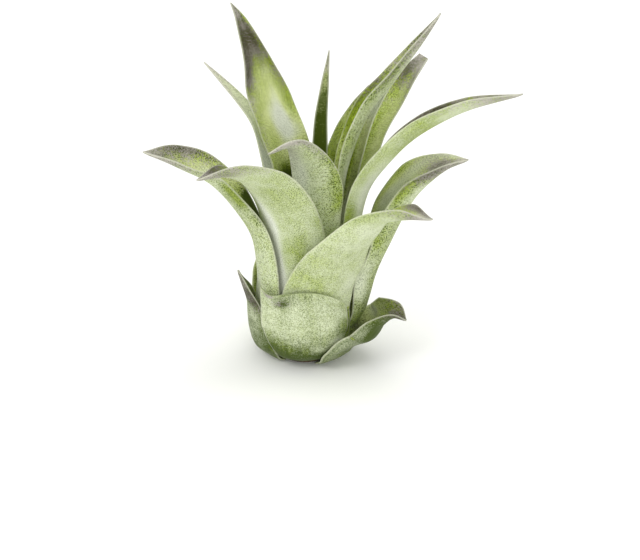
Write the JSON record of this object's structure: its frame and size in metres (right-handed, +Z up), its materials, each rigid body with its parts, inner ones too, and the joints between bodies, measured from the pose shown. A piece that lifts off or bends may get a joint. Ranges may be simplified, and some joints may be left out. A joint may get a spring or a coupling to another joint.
{
  "type": "air plant",
  "caption": "Small rosette air plant with channelled, tapering silvery green leaves rising from a bulb of overlapping leaf bases on a short trimmed stem.",
  "frame": {"origin": "centre of the flat cut face under the stem", "axes": "+Z up the plant's middle, +X to the right and -Y towards the side seen in the picture"},
  "size_m": [0.1157, 0.0612, 0.1127],
  "materials": {
    "leaf_basal": "matt, pale silvery green leaf tissue",
    "leaf_blade": "matt, finely speckled green leaf tissue",
    "stem": "rough dry brown stem"
  },
  "bodies": {
    "root": {"stem": "stem", "leaf_basal_right": "leaf_basal", "leaf_basal_back": "leaf_basal", "leaf_basal_front": "leaf_basal", "leaf_back_right": "leaf_blade", "leaf_basal_left": "leaf_basal", "leaf_front_right": "leaf_blade", "leaf_back_middle": "leaf_blade", "leaf_low_left": "leaf_blade", "leaf_low_right": "leaf_blade", "leaf_front_left": "leaf_blade", "leaf_thin_left": "leaf_blade", "leaf_back_fan": "leaf_blade", "leaf_long_right": "leaf_blade", "leaf_front_hooked": "leaf_blade", "leaf_tall_left": "leaf_blade", "leaf_narrow_right": "leaf_blade", "leaf_steep_right": "leaf_blade", "leaf_back_narrow": "leaf_blade", "leaf_upright_heart": "leaf_blade"}
  },
  "joints": []
}
